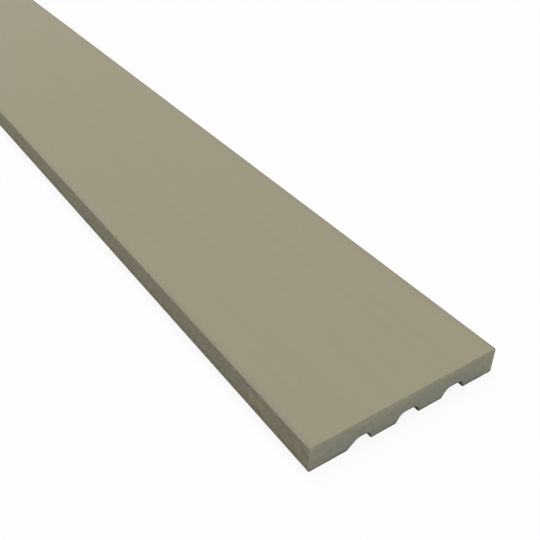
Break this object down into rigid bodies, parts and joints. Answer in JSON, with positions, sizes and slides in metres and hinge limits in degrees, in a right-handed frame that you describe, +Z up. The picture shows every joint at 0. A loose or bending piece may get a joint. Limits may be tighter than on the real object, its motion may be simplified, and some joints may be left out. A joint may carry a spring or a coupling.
{
  "type": "fibre cement trim board",
  "caption": "Smooth painted fibre cement trim board, square cut, with arched relief grooves running the full length of its back, nailed flat to a wall around openings and corners.",
  "frame": {"origin": "under the middle of the board, on the plane of its back lands", "axes": "+X along the length, +Y across the width from the front edge to the rear edge, +Z up through the finished face"},
  "size_m": [3.6576, 0.1396, 0.0191],
  "materials": {
    "fibre_cement": "smooth khaki factory paint, low sheen, on face and edges; bare grey-green fibre cement at the cut ends and back"
  },
  "bodies": {
    "root": {"trim_board": "fibre_cement"}
  },
  "joints": []
}
